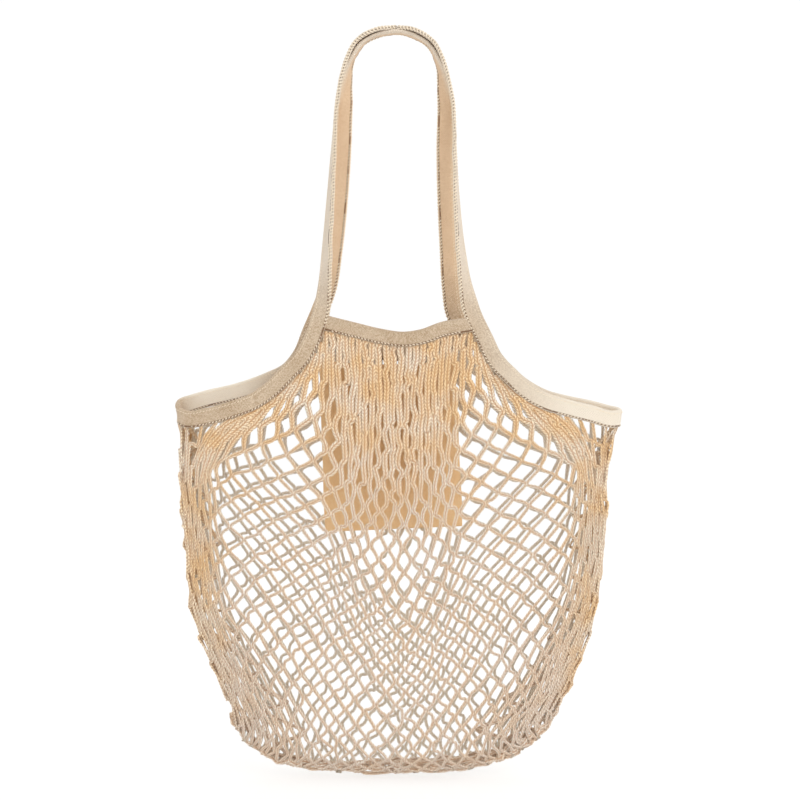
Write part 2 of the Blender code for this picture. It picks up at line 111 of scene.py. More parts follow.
def makeMesh(name, points, quads, uv, material):  # quads is n x 4, uv is n x 4 x 2
    mesh = bpy.data.meshes.new(name)
    count = len(quads)
    mesh.vertices.add(len(points))
    mesh.vertices.foreach_set("co", np.asarray(points, np.float32).ravel())
    mesh.loops.add(count * 4)
    mesh.loops.foreach_set("vertex_index", np.asarray(quads, np.int32).ravel())
    mesh.polygons.add(count)
    mesh.polygons.foreach_set("loop_start", np.arange(count, dtype=np.int32) * 4)
    mesh.polygons.foreach_set("use_smooth", np.ones(count, bool))
    layer = mesh.uv_layers.new(name="cloth")
    layer.uv.foreach_set("vector", np.asarray(uv, np.float32).ravel())
    mesh.update(calc_edges=True)
    mesh.materials.append(material)
    piece = bpy.data.objects.new(name, mesh)
    bpy.context.scene.collection.objects.link(piece)
    return piece


def placesOn(line, at, where):  # the values of a line at other places along it
    return np.stack([np.interp(where, at, line[:, k]) for k in range(3)], -1)


def tubeQuads(rows, rings, sides, firstPoint=0):  # rows of open tubes, each with rings of points
    row, ring, side = np.meshgrid(np.arange(rows), np.arange(rings - 1), np.arange(sides), indexing="ij")
    base = firstPoint + (row * rings + ring) * sides
    nextSide = (side + 1) % sides
    quads = np.stack([base + side, base + nextSide, base + sides + nextSide, base + sides + side], -1)
    return quads.reshape(-1, 4), ring.ravel(), side.ravel()


def tubeRing(line, radius, first, second, sides):  # rings of points round a line
    angles = np.arange(sides) * 2 * math.pi / sides
    away = np.cos(angles)[None, :, None] * first[:, None] + np.sin(angles)[None, :, None] * second[:, None]
    return (line[:, None] + radius[:, None, None] * away).reshape(-1, 3)


def closeHoles(piece, turnOut):  # caps the open ends of a mesh
    shape = bmesh.new()
    shape.from_mesh(piece.data)
    edges = [edge for edge in shape.edges if edge.is_boundary]
    bmesh.ops.holes_fill(shape, edges=edges, sides=0)
    if turnOut:
        bmesh.ops.recalc_face_normals(shape, faces=shape.faces)
    shape.to_mesh(piece.data)
    shape.free()


# Camera and light.
view = {
    "metresPerPixel": 0.00088,
    "pixels": 800,
    "sensor": 36,
    "distance": 1.70,
    "centre": (0.0035, -0.323),
    "floorDrop": 0.0025,
}


def makeCamera():
    camera = bpy.data.objects.new("camera", bpy.data.cameras.new("camera"))
    camera.data.lens = view["sensor"] * view["distance"] / (view["metresPerPixel"] * view["pixels"])
    camera.data.sensor_width = view["sensor"]
    camera.location = (view["centre"][0], -view["distance"], view["centre"][1])
    camera.rotation_euler = (math.pi / 2, 0, 0)
    camera.data.clip_start, camera.data.clip_end = 0.05, 30
    bpy.context.scene.collection.objects.link(camera)
    bpy.context.scene.camera = camera


makeCamera()


def linear(code):  # an sRGB hex colour as linear light
    parts = [int(code[i:i + 2], 16) / 255 for i in (1, 3, 5)]
    return [p / 12.92 if p <= 0.04045 else ((p + 0.055) / 1.055) ** 2.4 for p in parts] + [1]


def feed(tree, socket, value):  # a value is a number, a hex colour or the output of a node
    if isinstance(value, bpy.types.NodeSocket):
        tree.links.new(value, socket)
    else:
        socket.default_value = linear(value) if isinstance(value, str) else value


def addNode(tree, kind, inputs, **settings):
    node = tree.nodes.new(kind)
    for key, value in settings.items():
        setattr(node, key, value)
    for key, value in inputs.items():
        feed(tree, node.inputs[key], value)
    return node


def work(tree, operation, *terms):
    return addNode(tree, "ShaderNodeMath", dict(enumerate(terms)), operation=operation).outputs[0]


def ramp(tree, value, start, end, low=0.0, high=1.0, kind="LINEAR"):  # from start to end goes low to high
    inputs = {"Value": value, "From Min": start, "From Max": end, "To Min": low, "To Max": high}
    return addNode(tree, "ShaderNodeMapRange", inputs, interpolation_type=kind).outputs[0]


def noise(tree, scale, detail=2.0):
    where = tree.nodes.new("ShaderNodeTexCoord").outputs["Object"]
    inputs = {"Vector": where, "Scale": scale, "Detail": detail}
    return addNode(tree, "ShaderNodeTexNoise", inputs).outputs["Fac"]


def clothPlace(tree):  # along and across the cloth or round the strand
    place = addNode(tree, "ShaderNodeUVMap", {}, uv_map="cloth").outputs["UV"]
    return addNode(tree, "ShaderNodeSeparateXYZ", {"Vector": place}).outputs


def bagPlace(tree):  # the place on the bag, in metres
    where = tree.nodes.new("ShaderNodeTexCoord").outputs["Object"]
    return addNode(tree, "ShaderNodeSeparateXYZ", {"Vector": where}).outputs


def mixColours(tree, share, first, second):
    node = addNode(tree, "ShaderNodeMix", {0: share}, data_type="RGBA")
    for name, colour in (("A", first), ("B", second)):
        feed(tree, next(s for s in node.inputs if s.type == "RGBA" and s.name == name), colour)
    return next(o for o in node.outputs if o.type == "RGBA")


def dress(tree, shader, colour, height, facts):  # gives a cloth its colour, relief and dull surface
    feed(tree, shader.inputs["Base Color"], colour)
    inputs = {"Height": height, "Strength": facts["bump"], "Distance": facts["bumpDepth"]}
    feed(tree, shader.inputs["Normal"], addNode(tree, "ShaderNodeBump", inputs).outputs["Normal"])
    for key, value in facts["surface"].items():
        shader.inputs[key].default_value = value


def newMaterial(name):
    material = bpy.data.materials.new(name)
    material.use_nodes = True
    tree = material.node_tree
    return material, tree, tree.nodes["Principled BSDF"]


lamp = {
    "world": 0.80,
    "paper": 0.63,
    "aim": (0, 0, -0.40),
}
lights = {
    "key": {"power": 13.2, "size": 1.2, "at": (1.2, -1.7, 0.9)},
    "fill": {"power": 1.5, "size": 2.2, "at": (-1.7, -1.5, -0.1)},
    "top": {"power": 2, "size": 1.4, "at": (0.2, 0.3, 1.3)},
    "back": {"power": 2, "size": 2.0, "at": (0.3, 2.2, 0.2)},
}


def makeLights():
    world = bpy.context.scene.world or bpy.data.worlds.new("studio")
    bpy.context.scene.world = world
    world.use_nodes = True
    sky = next(node for node in world.node_tree.nodes if node.type == "BACKGROUND")
    sky.inputs["Color"].default_value = linear("#FFFEFC")
    sky.inputs["Strength"].default_value = lamp["world"]
    for name, facts in lights.items():
        light = bpy.data.lights.new(name, "AREA")
        light.energy = facts["power"]
        light.size = facts["size"]
        ob = bpy.data.objects.new(name, light)
        ob.location = facts["at"]
        ahead = unit(np.array(lamp["aim"]) - np.array(facts["at"]))
        ob.rotation_euler = Vector(ahead).to_track_quat("-Z", "Y").to_euler()
        bpy.context.scene.collection.objects.link(ob)


makeLights()


paper = {
    "flat": (0.001, 0.8, 1.6, 2.4, 3.0),  # radii of its flat rings
    "sweep": 1.6,  # radius of the curve up into the wall
    "wall": [(4.6, 3.4), (4.4, 4.6)],
    "around": 48,
}


def makeFloor():  # a pale round floor that sweeps up into a wall on all sides
    low = cadBox[0][2] - view["floorDrop"]
    sweep, around = paper["sweep"], paper["around"]
    line = [(r, low) for r in paper["flat"]]
    for a in np.linspace(0.2, math.pi / 2, 8):
        line.append((paper["flat"][-1] + sweep * math.sin(a), low + sweep * (1 - math.cos(a))))
    line += paper["wall"]
    turn = np.arange(around) * 2 * math.pi / around
    points = [(r * math.cos(a), r * math.sin(a), z) for r, z in line for a in turn]
    quads = tubeQuads(1, len(line), around)[0]
    # A roll of matt white studio paper. It gives the eye a plain bright ground with a faint shadow.
    material, _, shader = newMaterial("studioPaper")
    shader.inputs["Base Color"].default_value = linear("#A6A6A5")
    shader.inputs["Roughness"].default_value = 0.9
    shader.inputs["Emission Color"].default_value = linear("#FFFFFF")
    shader.inputs["Emission Strength"].default_value = lamp["paper"]
    floor = makeMesh("floor", points, quads, np.zeros((len(quads), 4, 2)), material)


makeFloor()
print("camera, lights and floor made")


yarn = {
    # Crown, body and painted shade of the crevices of the stitches, at the front and sides and then at the
    # back, painted whiter there to lift the shade that the front layer casts on it.
    "warm": ("#FFF6E2", "#FFE1B2", "#B0743E"),
    "pale": ("#FFFEFA", "#FDF6E9", "#CDB593"),
    # painted light on the open net below the pocket
    "paintedOpenNetLight": "#FCF6EC",
    "stitch": 0.0031,  # one chain stitch along the strand
    "slant": 1.05,
    "fuzz": 0.35,
    "bump": 0.8,
    "bumpDepth": 0.0006,
    "surface": {
        "Roughness": 0.92, "Sheen Weight": 0.25, "Sheen Roughness": 0.5, "Specular IOR Level": 0.2,
    },
}


def chainStitchedCotton(name, tones):
    # Carded cotton yarn, chain-stitched by machine and not dyed. It gives the eye a dull, warm strand of
    # small V-shaped loops with painted brown shade in their crevices, a fuzz of short fibres and no shine.
    material, tree, shader = newMaterial(name)
    crown, body, paintedCreviceShade = tones
    place = clothPlace(tree)
    turn = work(tree, "MULTIPLY", place["Y"], 2 * math.pi)
    side = work(tree, "ABSOLUTE", work(tree, "SINE", turn))
    slant = work(tree, "MULTIPLY_ADD", side, yarn["slant"], place["X"])
    arch = work(tree, "PINGPONG", work(tree, "FRACT", slant), 0.5)
    loop = ramp(tree, arch, 0.0, 0.26, kind="SMOOTHSTEP")
    seam = ramp(tree, side, 0.02, 0.42, kind="SMOOTHSTEP")
    relief = work(tree, "MULTIPLY", loop, seam)
    patch, fibre = noise(tree, 38.0), noise(tree, 1500.0)
    tone = ramp(tree, patch, 0.35, 0.65)
    raised = ramp(tree, relief, 0.0, 1.0, 0.28)
    speckle = ramp(tree, fibre, 0.40, 0.54, 0.56)
    lit = work(tree, "MULTIPLY", raised, speckle)
    # Painted light: below the pocket, where the net hangs open and gets more light, it is painted whiter than
    # in the bundles at the sides.
    at = bagPlace(tree)
    low = ramp(tree, at["Z"], -0.34, -0.46, 0.0, 0.62)
    inner = ramp(tree, work(tree, "ABSOLUTE", at["X"]), 0.165, 0.135)
    paintedOpenNetLight = work(tree, "MULTIPLY", low, inner)
    surface = mixColours(tree, paintedOpenNetLight, mixColours(tree, tone, body, crown), yarn["paintedOpenNetLight"])
    # Painted shade: the low parts of the stitch relief and random specks take the brown colour of the
    # crevices.
    cotton = mixColours(tree, lit, paintedCreviceShade, surface)
    dress(tree, shader, cotton, work(tree, "MULTIPLY_ADD", fibre, yarn["fuzz"], relief), yarn)
    return material


woven = {
    "slub": 2.2,  # how much uneven threads stand out beside the weave
    "bump": 0.9,
    "bumpDepth": 0.00035,
    "surface": {
        "Roughness": 0.9, "Sheen Weight": 0.2, "Sheen Roughness": 0.5, "Specular IOR Level": 0.25,
    },
}
tapeCloth = {
    "warp": "#DAC6AD",
    "weft": "#A58868",
    "paintedLightTone": "#EFE4D3",  # painted light: the tape painted lighter where the light falls on it
    "outer": "#F0E5D6",  # the front strap, painted lighter as the light falls on it
    "inner": "#F0CDA8",  # the back strap, painted in a warm shade, as it lies in shade with more of its own warm light bounced onto it
    # painted shade along the row of stitches
    "seam": "#6A4526",
    "seamInset": 0.0014,
    "thread": 0.0009,
    "mottle": 1.25,
}
pocketCloth = {"warp": "#FDDCAE", "weft": "#F3C68E", "thread": 0.0010, "mottle": 1.0}


def wovenCotton(name, facts):
    # Plain-woven cotton. It gives the eye a matt, slightly uneven face with a square grid of threads. The
    # real threads are about 0.4 mm apart and are drawn at about twice that, as finer ones would not show.
    material, tree, shader = newMaterial(name)
    place, mottle = clothPlace(tree), facts["mottle"]
    threads = []
    for axis in ("X", "Y"):
        scaled = work(tree, "MULTIPLY", place[axis], math.pi / facts["thread"])
        threads.append(work(tree, "SINE", scaled))
    weave = ramp(tree, work(tree, "MULTIPLY", *threads), -1.0, 1.0)
    patch, slub = noise(tree, 70.0, 4.0), noise(tree, 950.0, 3.0)
    tone = work(tree, "MULTIPLY_ADD", patch, mottle, weave)
    rough = work(tree, "MULTIPLY_ADD", ramp(tree, slub, 0.38, 0.62), mottle, tone)
    share = ramp(tree, rough, 0.5 * mottle, 0.8 + 1.5 * mottle)
    cloth = mixColours(tree, share, facts["weft"], facts["warp"])
    if "paintedLightTone" in facts:
        at = bagPlace(tree)
        # The handles are painted lighter on the front strap and in a warm painted shade on the back strap.
        handle = ramp(tree, at["Z"], -0.26, -0.20, 0.0, 0.6)
        backStrapPaintedShade = ramp(tree, at["Y"], -0.003, 0.003)
        cloth = mixColours(tree, handle, cloth, mixColours(tree, backStrapPaintedShade, facts["outer"], facts["inner"]))
        # Painted light: the tape is painted lighter towards one end of the bag, where the light falls on it,
        # and on its inner face at the other end.
        oneEnd = ramp(tree, at["X"], 0.058, 0.150, 0.0, 0.92)
        otherEnd = ramp(tree, at["X"], -0.085, -0.135, 0.0, 0.95)
        inside = ramp(tree, at["Y"], 0.002, 0.012)
        white = work(tree, "MAXIMUM", oneEnd, work(tree, "MULTIPLY", otherEnd, inside))
        cloth = mixColours(tree, white, cloth, facts["paintedLightTone"])
        # Painted shade: a thin brown line along the row of stitches at the open edge, where shade falls
        # between the stitches.
        far = work(tree, "ABSOLUTE", work(tree, "SUBTRACT", place["Y"], facts["seamInset"]))
        line = ramp(tree, far, 0.0011, 0.0003, 0.0, 0.88, "SMOOTHSTEP")
        cloth = mixColours(tree, line, cloth, facts["seam"])
    dress(tree, shader, cloth, work(tree, "MULTIPLY_ADD", slub, woven["slub"], weave), woven)
    return material


threadTones = ("#E2CCAC", "#FDF3E2")


def sewingThread():
    # Spun cotton sewing thread, twisted tight. It gives the eye a line a little smoother and lighter than
    # the tape that it lies on.
    material, tree, shader = newMaterial("sewingThread")
    feed(tree, shader.inputs["Base Color"], mixColours(tree, noise(tree, 400.0), *threadTones))
    shader.inputs["Roughness"].default_value = 0.7
    return material


netMaterial = chainStitchedCotton("chainStitchedCotton", yarn["warm"])
# The back pieces take a copy of the yarn painted lighter, against the shade they lie in behind the front
# layer.
netBackPaintedLitMaterial = chainStitchedCotton("chainStitchedCottonPaintedLit", yarn["pale"])
tapeMaterial = wovenCotton("plainWovenTape", tapeCloth)
pocketMaterial = wovenCotton("unbleachedCanvas", pocketCloth)
threadMaterial = sewingThread()
print("materials made")

# The endless tape.
# across is a share of the half width and down one of the drop, for the front strap and the back one.
# ahead is a share of half the mouth, and edge is 1 where a strap stands edge-on and 0 where it lies flat.
leftHandle = [
    (-0.091, -0.0027, -0.077, 0.0016, 0.10, 1, 1),
    (-0.182, 0.0135, -0.163, 0.0160, 0.12, 1, 1),
    (-0.223, 0.0366, -0.205, 0.0380, 0.15, 1, 0.92),
    (-0.248, 0.0636, -0.229, 0.0645, 0.20, 1, 0.62),
    (-0.264, 0.0907, -0.236, 0.0907, 0.26, 1, 0.3),
    (-0.283, 0.1584, -0.245, 0.1584, 0.40, 0.90, 0.05),
    (-0.297, 0.2261, -0.261, 0.2261, 0.56, 0.78, 0),
    (-0.312, 0.2938, -0.286, 0.2938, 0.75, 0.68, 0),
    (-0.323, 0.3466, -0.316, 0.3466, 0.90, 0.50, 0),
    (-0.336, 0.3777, -0.352, 0.3750, 0.97, 0.25, 0),
]
rightHandle = [
    (0.082, -0.0027, 0.068, 0.0016, 0.10, 1, 1),
    (0.168, 0.0135, 0.149, 0.0160, 0.12, 1, 1),
    (0.211, 0.0366, 0.193, 0.0380, 0.15, 1, 0.92),
    (0.236, 0.0636, 0.217, 0.0645, 0.20, 1, 0.62),
    (0.255, 0.0907, 0.227, 0.0907, 0.26, 1, 0.3),
    (0.266, 0.1584, 0.225, 0.1584, 0.40, 0.95, 0.05),
    (0.274, 0.2261, 0.230, 0.2261, 0.56, 0.84, 0),
    (0.292, 0.2938, 0.241, 0.2938, 0.75, 0.72, 0),
    (0.316, 0.3466, 0.252, 0.3466, 0.90, 0.50, 0),
    (0.341, 0.3777, 0.268, 0.3777, 0.97, 0.1, 0),
]
leftSide = [
    (-0.373, 0.4129, -0.395, 0.4048, 1.00, 0, 0),
    (-0.423, 0.4400, -0.436, 0.4346, 1.02, 0, 0),
    (-0.482, 0.4590, -0.500, 0.4576, 1.03, 0, 0),
    (-0.564, 0.4833, -0.582, 0.4698, 1.03, 0, 0),
    (-0.645, 0.4996, -0.664, 0.4793, 1.00, 0, 0),
    (-0.745, 0.5104, -0.745, 0.4867, 0.93, 0, 0),
    (-0.855, 0.5192, -0.855, 0.4942, 0.82, 0, 0),
    (-0.936, 0.5226, -0.932, 0.5009, 0.66, 0, 0),
    (-0.978, 0.5170, -0.976, 0.5060, 0.33, 0, 0),
]
rightSide = [
    (0.400, 0.4157, 0.341, 0.4102, 1.00, 0, 0),
    (0.445, 0.4427, 0.427, 0.4319, 1.02, 0, 0),
    (0.514, 0.4644, 0.500, 0.4563, 1.03, 0, 0),
    (0.582, 0.4833, 0.582, 0.4779, 1.03, 0, 0),
    (0.668, 0.4982, 0.682, 0.4942, 1.00, 0, 0),
    (0.773, 0.5077, 0.782, 0.5023, 0.93, 0, 0),
    (0.882, 0.5158, 0.891, 0.5091, 0.78, 0, 0),
    (0.968, 0.5226, 0.973, 0.5158, 0.55, 0, 0),
    (1.005, 0.5215, 1.005, 0.5180, 0.27, 0, 0),
]
frontSag = [(-0.186, 0.4035), (-0.073, 0.4116), (0.036, 0.4157), (0.118, 0.4123), (0.214, 0.4021)]
backSag = [(-0.209, 0.4197), (-0.109, 0.4292), (0.0, 0.4333), (0.109, 0.4292), (0.2, 0.4184)]


def strapPoints(rows, side, inward):
    rows = np.array(rows)
    columns = (2, 3, 6) if side > 0 else (0, 1, 5)
    across, down, edge = (rows[:, c] for c in columns)
    edge = edge * math.pi / 2
    # Towards the turn at the end of the bag the tape stands more and more upright.
    start = bag["uprightFrom"]
    atEnd = abs(rows[-1, 0]) > 0.9
    upright = np.clip(np.abs(rows[:, 0]) - start, 0, start) / start if atEnd else 0
    turned = np.cos(edge) * inward * (1 - bag["upright"] * upright)
    lean = np.stack([turned, side * np.sin(edge), -np.cos(edge)], 1)
    points = [across * bag["halfWidth"], side * rows[:, 4] * bag["halfMouth"], -down * bag["drop"]]
    return np.stack(points, 1), lean


def strapBack(rows, side, inward):  # the same, read from its lower end
    return [part[::-1] for part in strapPoints(rows, side, inward)]


def tapeKnots():
    top = np.array([[0, 0, 0.0041]]), np.array([[0, -1.0, 0]])
    under = np.array([[0, 0, 0.0012]]), np.array([[0, 1.0, 0]])
    runs = [top, strapPoints(leftHandle, -1, 1), strapPoints(leftSide, -1, 1)]
    runs += [strapBack(leftSide, 1, 1), strapBack(leftHandle, 1, 1)]
    runs += [under, strapPoints(rightHandle, 1, -1), strapPoints(rightSide, 1, -1)]
    runs += [strapBack(rightSide, -1, -1), strapBack(rightHandle, -1, -1), top]
    return [np.concatenate(part) for part in zip(*runs)]


tapePoints, tapeLean = tapeKnots()
tapeAt = lengths(tapePoints)
tapeLength = tapeAt[-1]
handleRows, sideRows = len(leftHandle), len(leftSide)
firstCorner = 1 + handleRows
thirdCorner = firstCorner + 2 * sideRows + 2 * handleRows + 1
fourthCorner = thirdCorner + 2 * sideRows - 1
up = bag["frontCorner"]  # how far up from its knot a front corner lies, as a share of the way to the next one
corners = [
    tapeAt[firstCorner] - up * (tapeAt[firstCorner] - tapeAt[firstCorner - 1]),
    tapeAt[firstCorner + 2 * sideRows - 1],
    tapeAt[thirdCorner],
    tapeAt[fourthCorner] + up * (tapeAt[fourthCorner + 1] - tapeAt[fourthCorner]),
]
turns = [tapeAt[c + sideRows - 1:c + sideRows + 1].mean() for c in (firstCorner, thirdCorner)]


def tapeFrame(at):  # middle line, direction across the tape towards its open edge, through it and ahead
    at = np.mod(at, tapeLength)
    points = smooth(at, tapeAt, tapePoints)
    step = 0.0015
    after, before = (smooth(np.mod(at + s, tapeLength), tapeAt, tapePoints) for s in (step, -step))
    ahead = unit(after - before)
    lean = smooth(at, tapeAt, tapeLean)
    across = unit(lean - (lean * ahead).sum(1, keepdims=True) * ahead)
    return points, across, np.cross(ahead, across), ahead


tape = {
    "step": 0.0022,
    "leg": 0.00105,  # thickness of one leg, its raw edge turned in
    "slit": 0.0004,  # gap between the legs where nothing is held
    "held": 0.0022,  # how much wider the gap is round the net
    "bandSlit": 0.0026,
    "grip": 0.002,  # how far the net goes in past the open edge
    "pucker": 0.00042,
    "roll": 0.0007,
    "stitchInset": 0.0014,
    "stitch": 0.0029,
    "stitchShare": 0.72,  # of the step that the raised part of a stitch takes
    "stitchRise": 0.00034,
    "stitchSink": 0.00020,
    "stitchWobble": 0.00012,
    "threadWidth": 0.0010,
    "threadSides": 5,
    "whipWidth": 0.0013,  # the whip stitches over the edge read as one thick slanting thread
    "whipRings": 9,
    "whipShare": 0.42,
    "whipTurn": 118,  # degrees from the edge to where a stitch goes into the tape
    "whipInset": 0.0010,
    "whipOut": 0.00125,
    "whipGap": 0.00012,
    "foldInset": 0.0026,
    "slant": 0.0004,
    "creases": 26,
    "creaseDepth": 0.00065,
    "creaseWidth": (0.0018, 0.0045),
}
# Shape of a folded tape: across as a share of the half width, less some metres, and through as a share of
# half the thickness. The outer side runs from the open edge towards the fold.
outerSide = [
    (1, 0, 0.55), (1, 0.0004, 0.97), (0.72, 0, 1), (0.4, 0, 1.02),
    (0.0, 0, 1.03), (-0.45, 0, 1.02), (-0.8, 0, 0.98),
]


def foldedSection(width, slit):  # round a folded tape, from one open edge over the fold to the other
    half = width / 2
    outside, inside = slit / 2 + tape["leg"], slit / 2
    outer = [(half * share - less, outside * thick) for share, less, thick in outerSide]
    fold = []
    for a in np.linspace(math.pi / 2, -math.pi / 2, 7)[1:-1]:
        fold.append((-half + outside * (1 - math.cos(a)) * 0.85, outside * math.sin(a)))
    lower = [(a, -b) for a, b in outer[::-1]]
    near = [(half - 0.0003, -inside), (half * 0.3, -inside), (-half + 0.0026, -inside)]
    far = [(a, -b) for a, b in near[::-1]]
    return np.array(outer + fold + lower + near + [(-half + 0.0018, 0.0)] + far)


def sweepTape(name, points, across, through, at, slits, width, closed, seed):
    sections = np.array([foldedSection(width, slit) for slit in slits])
    size = sections.shape[1]
    a, b = sections[:, :, 0], sections[:, :, 1]
    # The stitching draws the legs in little by little, and the cloth rolls softly between.
    wave = waves(at[:, None] * 900, a * 120, seed, 7, 0.6, 1.6) * tape["pucker"]
    near = np.clip((a + width / 2) / width, 0, 1)
    roll = waves(at[:, None] * 160, 1.0, seed + 1, 5, 0.4, 1.5) * tape["roll"]
    body = np.sign(b) * np.abs(wave) * near * (np.abs(b) > slits[:, None] / 2 + 0.0002)
    # A few creases run across the tape where it has been folded and carried.
    random = np.random.default_rng(seed + 2)
    span = at[-1] - at[0]
    crease = 0
    for _ in range(max(3, int(tape["creases"] * span / tapeLength))):
        place = random.uniform(at[0], at[-1])
        wide = random.uniform(*tape["creaseWidth"])
        lean = random.uniform(-0.6, 0.6)
        deep = random.uniform(0.4, 1)
        bend = deep * np.exp(-(((at[:, None] - place) + lean * a) / wide) ** 2)
        crease = crease + bend * random.choice([-1, 1])
    roll = roll + np.clip(crease, -1, 1) * tape["creaseDepth"]
    lift = b + body + roll * near
    ring = points[:, None] + a[..., None] * across[:, None] + lift[..., None] * through[:, None]
    count = len(points)
    quads = tubeQuads(1, count + closed, size)[0] % (count * size)
    row = np.arange(count - 1 + closed)
    girth = width / 2 - sections[0][:, 0]  # counted from the open edge
    girth = np.append(girth, girth[0])
    places = np.append(at, at[-1] + (at[-1] - at[-2]))
    uv = np.zeros((len(row), size, 4, 2))
    uv[:, :, 0, 0] = uv[:, :, 1, 0] = places[row][:, None]
    uv[:, :, 2, 0] = uv[:, :, 3, 0] = places[row + 1][:, None]
    uv[:, :, 0, 1] = uv[:, :, 3, 1] = girth[:-1]
    uv[:, :, 1, 1] = uv[:, :, 2, 1] = girth[1:]
    piece = makeMesh(name, ring.reshape(-1, 3), quads, uv.reshape(-1, 4, 2), tapeMaterial)
    if not closed:
        closeHoles(piece, False)
    return piece


def stitchRow(points, across, through, at, inset, lift, seed, fine=1.0):
    # Short raised stitches along a line, as rings of points round each thread.
    step, rings = tape["stitch"], 5
    count = int((at[-1] - at[0]) / step)
    start = at[0] + step * (np.arange(count) + 0.12)
    t = np.linspace(0, 1, rings)
    where = (start[:, None] + t * step * tape["stitchShare"]).ravel()
    middle, over, out = (placesOn(part, at, where) for part in (points, across, through))
    over, out = unit(over), unit(out)
    rise = np.tile(np.sin(t * math.pi) * tape["stitchRise"] - tape["stitchSink"], count)
    tilt = np.tile((t - 0.5) * 2 * tape["slant"], count)
    random = np.random.default_rng(seed)
    wobble = np.repeat(random.normal(0, tape["stitchWobble"], count), rings)
    side = np.sign(lift)
    line = middle + over * (inset + wobble + tilt)[:, None] + out * (lift + side * rise)[:, None]
    ahead = unit(np.gradient(line.reshape(count, rings, 3), axis=1)).reshape(-1, 3)
    radius = fine * tape["threadWidth"] / 2 * np.tile(np.array([0.45, 0.9, 1, 0.9, 0.45]), count)
    return tubeRing(line, radius, unit(np.cross(ahead, out)), out, tape["threadSides"]), count, rings


def edgeStitches(points, across, through, at):
    # Whip stitches over the open edges of the handles, which are sewn shut. The side bindings have none.
    step, rings = tape["stitch"], tape["whipRings"]
    start = np.arange(step, at[-1] - step, step)
    bound = ((start > corners[0]) & (start < corners[1])) | ((start > corners[2]) & (start < corners[3]))
    start = start[~bound]
    t = np.linspace(-1, 1, rings)
    where = (start[:, None] + t * step * tape["whipShare"]).ravel()
    middle, over, out = (placesOn(part, at, where) for part in (points, across, through))
    over, out = unit(over), unit(out)
    angle = np.tile(t * math.radians(tape["whipTurn"]), len(start))
    reach = bag["tapeWidth"] / 2 - tape["whipInset"]
    sideways = reach + tape["whipOut"] * np.cos(angle)
    outward = (0.0002 + tape["leg"] + tape["whipGap"]) * np.sin(angle)
    line = middle + over * sideways[:, None] + out * outward[:, None]
    ahead = unit(np.gradient(line.reshape(-1, rings, 3), axis=1)).reshape(-1, 3)
    away = np.cos(angle)[:, None] * over + np.sin(angle)[:, None] * out
    away = unit(away - (away * ahead).sum(1, keepdims=True) * ahead)
    radius = tape["whipWidth"] / 2 * np.tile(np.sqrt(np.clip(1.05 - t**2, 0.05, 1)), len(start))
    return tubeRing(line, radius, away, np.cross(ahead, away), tape["threadSides"]), len(start), rings


def makeStitches(name, rows):
    points, quads, base = [], [], 0
    for ring, count, rings in rows:
        points.append(ring)
        quads.append(tubeQuads(count, rings, tape["threadSides"], base)[0])
        base += len(ring)
    points, quads = np.concatenate(points), np.concatenate(quads)
    uv = np.zeros((len(quads), 4, 2))
    return makeMesh(name, points, quads, uv, threadMaterial)


def slitAt(at):  # the tape opens round the edge of the net on each side of the mouth
    opening = np.zeros(len(at))
    for start, end in (corners[:2], corners[2:]):
        into, outOf = ease((at - start + 0.004) / 0.012), ease((end + 0.004 - at) / 0.012)
        opening = np.maximum(opening, into * outOf)
    return tape["slit"] + tape["held"] * opening


def makeTape():
    count = int(tapeLength / tape["step"])
    at = np.arange(count) * tapeLength / count
    points, across, through, _ = tapeFrame(at)
    piece = sweepTape("tapeLoop", points, across, through, at, slitAt(at), bag["tapeWidth"], True, 3)
    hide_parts("handle_tape")
    return piece


def bandLine(sag, ends, side):
    sag = np.array(sag)
    middle = side * bag["halfMouth"]
    points = [sag[:, 0] * bag["halfWidth"], np.full(len(sag), middle), -sag[:, 1] * bag["drop"]]
    points = np.concatenate([[ends[0]], np.stack(points, 1), [ends[1]]])
    first, last = ends
    points[:, 1] = np.interp(points[:, 0], (first[0], 0, last[0]), (first[1], middle, last[1]))
    return points


def bandFrame(line, cuts):
    down = np.array([0.0, 0.0, -1.0])
    ahead = unit(np.gradient(line, axis=0))
    square = unit(down - (ahead @ down)[:, None] * ahead)
    place = np.linspace(0, 1, len(line))[:, None]
    first, last = np.clip(1 - place / 0.15, 0, 1), np.clip(1 - (1 - place) / 0.15, 0, 1)
    across = unit(square * (1 - first - last) + cuts[0] * first + cuts[1] * last)
    return across, unit(np.cross(ahead, across))


bands = {}


def makeBand(name, node, pair, sag, side, seed):
    reach = bag["tapeWidth"] / 2 - 0.0015  # the ends go in between the legs of the tape
    ends, cuts = [], []
    for corner in pair:
        point, across, _, ahead = (v[0] for v in tapeFrame(np.array([corner])))
        ends.append(point + across * reach)
        cuts.append(ahead * -np.sign(ahead[2]))
    known = bandLine(sag, ends, side)
    at = lengths(known)
    count = int(at[-1] / tape["step"])
    where = np.linspace(0, at[-1], count)
    line = smooth(where, at, known)
    across, through = bandFrame(line, cuts)
    bands[name] = (where, line, across)
    # Its ends are pressed thin where they go into the tape.
    fromEnd = np.minimum(where, at[-1] - where)
    slits = np.full(count, tape["bandSlit"]) * (0.35 + 0.65 * ease(fromEnd / 0.010))
    piece = sweepTape(name, line, across, through, where, slits, bag["bandWidth"], False, seed)
    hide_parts(node)
    inset = bag["bandWidth"] / 2 - tape["stitchInset"]
    lift = tape["bandSlit"] / 2 + tape["leg"] * 1.03 + 0.0002
    parts = [v[3:-3] for v in (line, across, through, where)]
    return piece, [stitchRow(*parts, inset, side * lift, seed + n) for side, n in ((1, 1), (-1, 2))]


